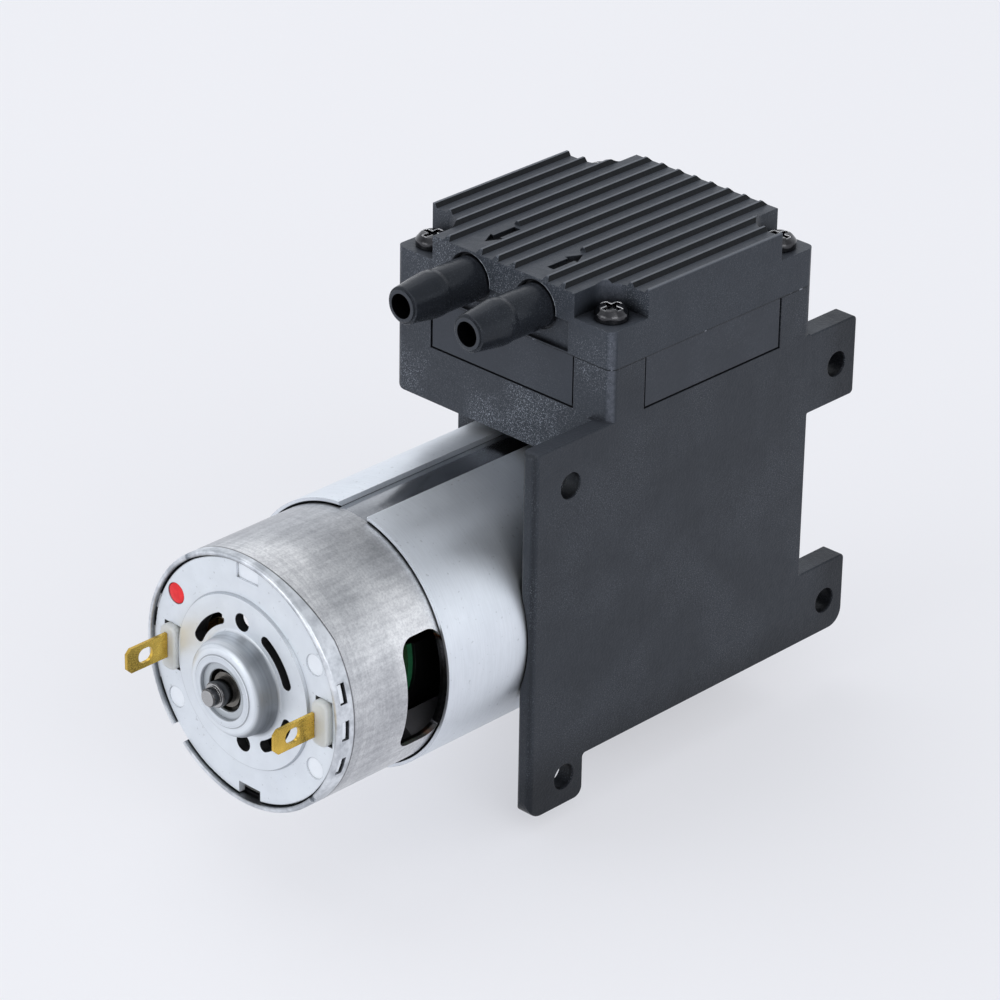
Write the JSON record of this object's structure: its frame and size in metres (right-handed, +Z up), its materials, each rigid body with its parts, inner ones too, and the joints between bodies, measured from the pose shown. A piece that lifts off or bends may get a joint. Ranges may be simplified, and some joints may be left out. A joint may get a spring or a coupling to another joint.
{
  "type": "diaphragm vacuum pump",
  "caption": "Small diaphragm vacuum pump: ribbed black head with inlet and outlet hose nozzles, mounting plate with lugs, and a brushed direct-current motor.",
  "frame": {"origin": "On the mounting plate's outer face, at the height of the motor's axis and under the middle of the pump head.", "axes": "+X is the mounting face's outward normal, +Y runs along the motor's axis from its rear end to the pump, +Z is up to the ribbed cover. Metres."},
  "size_m": [0.047, 0.1244, 0.0847],
  "materials": {
    "body_plastic": "satin black glass-filled nylon with a fine speckle",
    "panel_plastic": "smoother satin black moulded plastic",
    "cover_plastic": "satin black glass-filled nylon",
    "black_rubber": "matt black rubber",
    "black_screw": "black nickel plated steel",
    "can_steel": "drawn zinc-plated steel with faint rolling marks",
    "ring_zinc": "pale zinc-plated rolled steel",
    "cap_zinc": "pale zinc-plated pressed steel",
    "nylon": "milky natural nylon",
    "bronze": "sintered bronze",
    "bearing_steel": "polished bearing steel",
    "retainer_plastic": "dark moulded plastic",
    "diaphragm_rubber": "matt black fabric-backed rubber",
    "terminal_brass": "plain stamped brass",
    "carbon": "pressed carbon",
    "spring_brass": "spring brass strip",
    "ferrite": "ground grey-black ferrite",
    "shaft_steel": "ground steel",
    "laminations": "stacked electrical steel",
    "insulator_green": "green insulating coat",
    "copper_wire": "enamelled copper wire",
    "commutator_copper": "turned copper",
    "hub_steel": "machined steel",
    "rod_plastic": "dark moulded plastic",
    "clamp_aluminium": "turned aluminium",
    "flap_rubber": "soft black rubber"
  },
  "bodies": {
    "pump": {"pump_body": "body_plastic", "middle_plate": "panel_plastic", "head_cover": "cover_plastic", "cover_gasket": "black_rubber", "cover_screws": "black_screw", "crankcase_cover": "body_plastic", "crankcase_cover_screws": "black_screw", "motor_screws": "black_screw", "motor_can": "can_steel", "flux_ring": "ring_zinc", "motor_end_cap": "cap_zinc", "brush_plate": "nylon", "front_bush": "bronze", "rear_bearing_outer": "bearing_steel", "inlet_flap_retainer": "retainer_plastic", "outlet_flap_retainer": "retainer_plastic", "diaphragm": "diaphragm_rubber", "terminal_right": "terminal_brass", "terminal_left": "terminal_brass", "brush_right": "carbon", "brush_left": "carbon", "brush_arm_right": "spring_brass", "brush_arm_left": "spring_brass", "magnet_top": "ferrite", "magnet_bottom": "ferrite"},
    "rotor": {"motor_shaft": "shaft_steel", "armature_core": "laminations", "armature_insulators": "insulator_green", "armature_windings": "copper_wire", "commutator": "commutator_copper", "rear_bearing_inner": "bearing_steel", "rear_bearing_balls": "bearing_steel", "eccentric_hub": "hub_steel", "hub_set_screw": "black_screw", "bearing_circlip": "black_screw", "crank_bearing_inner": "bearing_steel"},
    "rod": {"connecting_rod": "rod_plastic", "crank_bearing_outer": "bearing_steel", "crank_bearing_balls": "bearing_steel", "clamp_plate": "clamp_aluminium", "clamp_screw": "black_screw"},
    "inlet_valve": {"inlet_flap": "flap_rubber"},
    "outlet_valve": {"outlet_flap": "flap_rubber"}
  },
  "joints": [
    {"name": "rotor_spin", "type": "hinge", "parent": "pump", "child": "rotor", "pos_m": [-0.0235, 0, 0], "axis": [0, 1, 0], "continuous": true},
    {"name": "rod_pivot", "type": "hinge", "parent": "rotor", "child": "rod", "pos_m": [-0.0235, 0, -0.002], "axis": [0, 1, 0], "continuous": true, "deforming": ["diaphragm"]},
    {"name": "inlet_flap_hinge", "type": "hinge", "parent": "pump", "child": "inlet_valve", "pos_m": [-0.01635, 0.0046, 0.0396], "axis": [1, 0, 0], "range_deg": [0, 10], "stiffness_Nm_per_rad": 0.0005},
    {"name": "outlet_flap_hinge", "type": "hinge", "parent": "pump", "child": "outlet_valve", "pos_m": [-0.03065, 0.0046, 0.0427], "axis": [-1, 0, 0], "range_deg": [0, 10], "stiffness_Nm_per_rad": 0.0005}
  ],
  "couplings": [
    {"joint": "rod_pivot", "follows": "rotor_spin", "ratio": -1}
  ]
}
